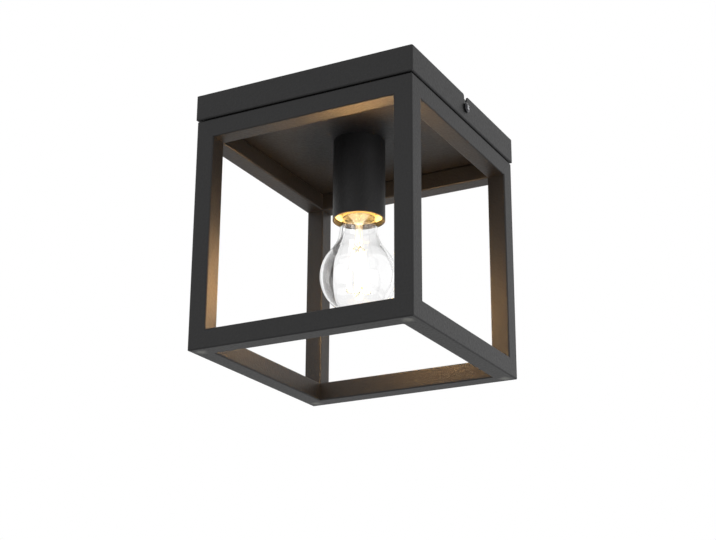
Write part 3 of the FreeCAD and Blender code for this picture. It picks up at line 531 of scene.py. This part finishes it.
low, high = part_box("holder_terminal_screws")
radius = (high.z - low.z) / 2
grub_screw = threaded_stud(radius, m3_pitch, m3_thread, high.y - low.y, slot_depth)
lying = grub_screw[..., [0, 2, 1]] * (1, -1, 1)
ends = (low.x + radius, high.x - radius)
new = make_piece("holder_terminal_screws_detailed", "lantern", zinc_plate,
                 [lying + (x, low.y, (low.z + high.z) / 2) for x in ends])
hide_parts("holder_terminal_screws")


# ---- wires ----
# Stranded copper in extruded silicone rubber: matt, with a faint bloom, brown for live, blue for
# neutral, and green with a yellow stripe along its upper side for earth.
rubber_bloom = 1.2 * mm
stripe_edge = (0.35, 0.45)    # how far up the rubber faces where the stripe begins
for node, name, codes in (("wire_live", "brown_silicone_rubber", ("#5E3A22", "#6D472D")),
                          ("wire_neutral", "blue_silicone_rubber", ("#2458A6", "#3167B4")),
                          ("wire_earth", "green_and_yellow_silicone_rubber", ("#2F8A3C", "#E3CF2E"))):
    rubber, tree = new_material(name)
    place = add_node(tree, "ShaderNodeTexCoord").outputs["Object"]
    bloom = add_node(tree, "ShaderNodeTexNoise", {"Vector": place, "Scale": 1 / rubber_bloom,
                                                  "Detail": 2.0})
    share = bloom.outputs["Fac"]
    if node == "wire_earth":
        surface = add_node(tree, "ShaderNodeNewGeometry")
        facing = add_node(tree, "ShaderNodeSeparateXYZ", {0: surface.outputs["Normal"]})
        share = add_node(tree, "ShaderNodeMapRange", {"Value": facing.outputs["Z"],
                                                      "From Min": stripe_edge[0],
                                                      "From Max": stripe_edge[1]}).outputs[0]
    tint = add_node(tree, "ShaderNodeMix", {0: share, 6: linear(codes[0]), 7: linear(codes[1])},
                    data_type="RGBA")
    gloss = add_node(tree, "ShaderNodeMapRange", {"Value": bloom.outputs["Fac"], "To Min": 0.45,
                                                  "To Max": 0.65})
    body = add_node(tree, "ShaderNodeBsdfPrincipled", {"Base Color": tint.outputs[2], "IOR": 1.43,
                                                       "Roughness": gloss.outputs[0]})
    add_node(tree, "ShaderNodeOutputMaterial", {"Surface": body.outputs[0]})
    dress(rubber, node)


# ---- bulb cap ----
# Screw cap drawn from thin nickel plated brass, its right-hand thread rolled in, and below it the plain
# skirt that is cemented to the glass. Black glass insulates it from the soldered tip.
cap_wall = 0.3 * mm
cap_thread = 0.9 * mm         # from a crest to the root
cap_skirt = 8.6 * mm          # plain length above the open edge
cap_slope = 1.8 * mm          # the bevel under the insulator
cap_rows = 110

# The wall goes in by the thread's depth times half of one less the cosine of (height over pitch less
# turn), and the thread fades out over half a pitch at both of its ends.
low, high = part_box("bulb_cap")
height = np.linspace(high.z - cap_slope, low.z, cap_rows)[:, None]
wave = (1 - np.cos(2 * np.pi * height / e27_pitch - around)) / 2
fade = (np.clip((height - low.z - cap_skirt) / (0.5 * e27_pitch), 0, 1)
        * np.clip((high.z - cap_slope - height) / (0.5 * e27_pitch), 0, 1))
wall = np.vstack([high.x - cap_slope + 0 * around, high.x - cap_thread * wave * fade])
height = np.vstack([[[high.z]], height])
new = make_piece("bulb_cap_threaded", "bulb", nickel_plate,
                 [np.vstack([upright(wall, height), upright(wall - cap_wall, height)[::-1]])], ring=True)
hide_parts("bulb_cap")

# The insulator is poured black glass: nearly mirror smooth, with slow ripples.
poured_ripple = 2 * mm
black_glass, tree = new_material("black_insulating_glass")
place = add_node(tree, "ShaderNodeTexCoord").outputs["Object"]
ripple = add_node(tree, "ShaderNodeTexNoise", {"Vector": place, "Scale": 1 / poured_ripple, "Detail": 1.0})
gloss = add_node(tree, "ShaderNodeMapRange", {"Value": ripple.outputs["Fac"], "To Min": 0.05,
                                              "To Max": 0.16})
bump = add_node(tree, "ShaderNodeBump", {"Height": ripple.outputs["Fac"], "Strength": 0.3,
                                         "Distance": 0.1 * mm})
body = add_node(tree, "ShaderNodeBsdfPrincipled", {"Base Color": linear("#0D0E14"), "IOR": 1.6,
                                                   "Roughness": gloss.outputs[0],
                                                   "Normal": bump.outputs[0]})
add_node(tree, "ShaderNodeOutputMaterial", {"Surface": body.outputs[0]})
dress(black_glass, "bulb_insulator")

# The tip is a drop of tin solder: a pale grey metal, with a fine frost from its setting.
solder_frost = 0.5 * mm
solder, tree = new_material("tin_solder")
place = add_node(tree, "ShaderNodeTexCoord").outputs["Object"]
frost = add_node(tree, "ShaderNodeTexNoise", {"Vector": place, "Scale": 1 / solder_frost, "Detail": 3.0})
tint = add_node(tree, "ShaderNodeMix", {0: frost.outputs["Fac"], 6: linear("#C4C6C8"),
                                        7: linear("#9C9EA0")}, data_type="RGBA")
bump = add_node(tree, "ShaderNodeBump", {"Height": frost.outputs["Fac"], "Strength": 0.4,
                                         "Distance": 0.05 * mm})
metal = add_node(tree, "ShaderNodeBsdfPrincipled", {"Base Color": tint.outputs[2], "Metallic": 1.0,
                                                    "Roughness": 0.36, "Normal": bump.outputs[0]})
add_node(tree, "ShaderNodeOutputMaterial", {"Surface": metal.outputs[0]})
dress(solder, "bulb_tip_contact")


# ---- bulb driver ----
# Round circuit board that is pushed into the cap, with a can capacitor standing on it, a rectifier lying
# beside it, and a lead each way. Its solder mask is a glossy green over the weave of the glass cloth.
board_radius = 11.3 * mm
board_depth = 12.5 * mm       # from the bulb's tip to the board's upper face
board_thickness = 1.6 * mm
board_chamfer = 0.1 * mm
can_radius = 3.2 * mm
can_height = 5.5 * mm
can_groove = (1.6 * mm, 1.3 * mm, 1.0 * mm)     # heights of the edges and the bottom of its groove
rectifier_half = np.array([3 * mm, 2 * mm, 1.1 * mm])
rectifier_power = 0.3         # the lower, the squarer its corners
lead_radius = 0.4 * mm
cloth_weave = 0.8 * mm
board_green, tree = new_material("green_solder_mask")
place = add_node(tree, "ShaderNodeTexCoord").outputs["Object"]
weave = add_node(tree, "ShaderNodeTexChecker", {"Vector": place, "Scale": 1 / cloth_weave,
                                                "Color1": linear("#1D6A33"), "Color2": linear("#23753B")})
body = add_node(tree, "ShaderNodeBsdfPrincipled", {"Base Color": weave.outputs["Color"],
                                                   "Roughness": 0.35, "IOR": 1.5})
add_node(tree, "ShaderNodeOutputMaterial", {"Surface": body.outputs[0]})
tip_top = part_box("bulb_tip_contact")[1].z
board_top = tip_top - board_depth
board_bottom = board_top - board_thickness


def turned(profile, x=0.0):
    """Solid of revolution from (radius, height) points, about an upright axis at x."""
    profile = np.array(profile)
    return upright(profile[:, :1], profile[:, 1:]) + (x, 0, 0)


board = turned([(board_radius - board_chamfer, board_top), (board_radius, board_top - board_chamfer),
                (board_radius, board_bottom + board_chamfer), (board_radius - board_chamfer, board_bottom)])
can_top = board_top + can_height
can = turned([(can_radius * 0.82, can_top), (can_radius * 0.95, can_top),
              (can_radius, can_top - 0.3 * mm), (can_radius, board_top + can_groove[0]),
              (can_radius * 0.9, board_top + can_groove[1]), (can_radius, board_top + can_groove[2]),
              (can_radius, board_top)], x=2 * can_radius)

# The rectifier is a block with round corners: each of its rows is the superellipse whose x and y are a
# small power of the cosine and the sine.
square_x = np.sign(np.cos(around)) * np.abs(np.cos(around)) ** rectifier_power
square_y = np.sign(np.sin(around)) * np.abs(np.sin(around)) ** rectifier_power
layer = np.array([[0.85, 1.0], [1.0, 0.8], [1.0, -1.0]])
rectifier = np.stack([layer[:, :1] * square_x, layer[:, :1] * square_y, layer[:, 1:] + 0 * around], axis=-1)
rectifier = rectifier * rectifier_half + (-4 * mm, 0, board_top + rectifier_half[2])
low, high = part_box("bulb_driver")
lead_up = turned([(lead_radius, high.z), (lead_radius, board_top - 0.5 * mm)])
lead_down = turned([(lead_radius, board_top - mm), (lead_radius, low.z)])
new = make_piece("bulb_driver_detailed", "bulb", board_green,
                 [board, can, rectifier, lead_up, lead_down])
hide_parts("bulb_driver")


# ---- bulb glass and stem ----
# The envelope is blown soda-lime glass, clear and faintly wavy. The stem inside it is pressed from lead
# glass round the two leads, a little milky where it was fused. Neither throws a shadow, so that the
# bars' light gets out.
glass_wave = 14 * mm
fused_patch = 3 * mm
glass, tree = new_material("clear_blown_glass")
place = add_node(tree, "ShaderNodeTexCoord").outputs["Object"]
wave = add_node(tree, "ShaderNodeTexNoise", {"Vector": place, "Scale": 1 / glass_wave, "Detail": 0.0})
bump = add_node(tree, "ShaderNodeBump", {"Height": wave.outputs["Fac"], "Strength": 0.2,
                                         "Distance": 0.3 * mm})
body = add_node(tree, "ShaderNodeBsdfPrincipled", {"Base Color": linear("#FFFFFF"), "Roughness": 0.0,
                                                   "IOR": 1.52, "Transmission Weight": 1.0,
                                                   "Normal": bump.outputs[0]})
add_node(tree, "ShaderNodeOutputMaterial", {"Surface": body.outputs[0]})
dress(glass, "bulb_glass")
nodes["bulb_glass"].visible_shadow = False

milky, tree = new_material("pressed_lead_glass")
place = add_node(tree, "ShaderNodeTexCoord").outputs["Object"]
fused_in = add_node(tree, "ShaderNodeTexNoise", {"Vector": place, "Scale": 1 / fused_patch, "Detail": 2.0})
gloss = add_node(tree, "ShaderNodeMapRange", {"Value": fused_in.outputs["Fac"], "To Min": 0.02,
                                              "To Max": 0.2})
body = add_node(tree, "ShaderNodeBsdfPrincipled", {"Base Color": linear("#FFFDF8"), "IOR": 1.55,
                                                   "Roughness": gloss.outputs[0],
                                                   "Transmission Weight": 0.88})
add_node(tree, "ShaderNodeOutputMaterial", {"Surface": body.outputs[0]})
dress(milky, "bulb_stem")
nodes["bulb_stem"].visible_shadow = False


# ---- filaments ----
# Four bars of light-emitting chips in a yellow silicone with phosphor, lit a warm white, with a bright
# nickel end welded to the support wires at each end. A thin warm lamp on each bar lights the cage.
bar_radius = 0.85 * mm
bar_beads = 13                # swellings of the silicone along a bar
ferrule_radius = 0.9 * mm
ferrule_mouth = 0.8 * ferrule_radius
ferrule_length = 2.5 * mm
top_circle = 4.0 * mm         # circle of the bars' upper ends
foot_circle = 9.0 * mm        # circle of their lower ends
bar_power = 0.39              # watts that each bar sends out sideways
neck_power = 0.065            # watts that their upper ends send out
neck_reach = 4 * mm
chip_pitch = 1.2 * mm
phosphor, tree = new_material("lit_phosphor_silicone")
place = add_node(tree, "ShaderNodeTexCoord").outputs["Object"]
chips = add_node(tree, "ShaderNodeTexNoise", {"Vector": place, "Scale": 1 / chip_pitch, "Detail": 1.0})
warm = add_node(tree, "ShaderNodeMix", {0: chips.outputs["Fac"], 6: linear("#FFD9A0"),
                                        7: linear("#FFE8C4")}, data_type="RGBA")
body = add_node(tree, "ShaderNodeBsdfPrincipled", {"Base Color": linear("#E0A040"), "Roughness": 0.5,
                                                   "Emission Color": warm.outputs[2],
                                                   "Emission Strength": 12.0})
add_node(tree, "ShaderNodeOutputMaterial", {"Surface": body.outputs[0]})

# Drawn nickel wire is a pale bright metal with a faint streak from the die.
die_streak = 0.3 * mm
nickel_wire, tree = new_material("drawn_nickel_wire")
place = add_node(tree, "ShaderNodeTexCoord").outputs["Object"]
drawn = add_node(tree, "ShaderNodeTexNoise", {"Vector": place, "Scale": 1 / die_streak, "Detail": 2.0})
tint = add_node(tree, "ShaderNodeMix", {0: drawn.outputs["Fac"], 6: linear("#E4E0D6"),
                                        7: linear("#CFCABC")}, data_type="RGBA")
gloss = add_node(tree, "ShaderNodeMapRange", {"Value": drawn.outputs["Fac"], "To Min": 0.22, "To Max": 0.4})
metal = add_node(tree, "ShaderNodeBsdfPrincipled", {"Base Color": tint.outputs[2], "Metallic": 1.0,
                                                    "Roughness": gloss.outputs[0]})
add_node(tree, "ShaderNodeOutputMaterial", {"Surface": metal.outputs[0]})
dress(nickel_wire, "filament_wires")


def along(start, end, shares, radii):
    """Round bar from one point to another: each row is a circle of the given radius, at that share of the
    way, in the plane square to the bar."""
    start = np.array(start)
    way = np.array(end) - start
    ahead = way / np.linalg.norm(way)
    side = np.cross(ahead, (0.0, 0.0, 1.0))
    side = side / np.linalg.norm(side)
    up = np.cross(side, ahead)
    circle = np.cos(around)[..., None] * side + np.sin(around)[..., None] * up
    return start + np.array(shares)[:, None, None] * way + np.array(radii)[:, None, None] * circle


# A bar's radius falls to nothing as a high power at both ends, and swells by a small cosine between.
low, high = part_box("filaments")
share = np.linspace(0.002, 0.998, 60)
blunt = (1 - np.abs(2 * share - 1) ** 30) ** 0.5
swell = bar_radius * blunt * (0.97 + 0.03 * np.cos(2 * np.pi * bar_beads * share))
bars = []
ferrules = []
for quarter in range(4):
    bearing = (quarter + 0.5) * math.pi / 2
    outward = Vector((math.cos(bearing), math.sin(bearing), 0))
    top = (top_circle * outward.x, top_circle * outward.y, high.z - bar_radius)
    foot = (foot_circle * outward.x, foot_circle * outward.y, low.z + bar_radius)
    bars.append(along(top, foot, share, swell))
    length = math.dist(top, foot)
    cuff = ferrule_length / length
    for first, last in ((top, foot), (foot, top)):
        ferrules.append(along(first, last, [0, 0.02 * cuff, 0.9 * cuff, cuff],
                              [ferrule_mouth, ferrule_radius, ferrule_radius, ferrule_mouth]))
    glow = bpy.data.objects.new(f"bar_glow_{quarter}", bpy.data.lights.new(f"bar_glow_{quarter}", "AREA"))
    glow.data.shape = "RECTANGLE"
    glow.data.size = 4 * bar_radius
    glow.data.size_y = length
    glow.data.color = linear("#FFC47C")[:3]
    glow.data.energy = bar_power
    glow.rotation_mode = "QUATERNION"
    glow.rotation_quaternion = outward.to_track_quat("-Z", "Y")
    glow.location = (Vector(top) + Vector(foot)) / 2
    glow.visible_transmission = False
    bpy.context.scene.collection.objects.link(glow)
    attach(glow, "bulb")
new = make_piece("filament_bars", "bulb", phosphor, bars)
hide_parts("filaments")
make_piece("filament_ends", "bulb", nickel_wire, ferrules)

# A little of the light goes up the neck from the bars' upper ends.
upward = bpy.data.objects.new("neck_glow", bpy.data.lights.new("neck_glow", "POINT"))
upward.data.color = linear("#FFD595")[:3]
upward.data.energy = neck_power
upward.data.shadow_soft_size = neck_reach
upward.location = (0, 0, high.z + neck_reach)
upward.visible_transmission = False
bpy.context.scene.collection.objects.link(upward)
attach(upward, "bulb")
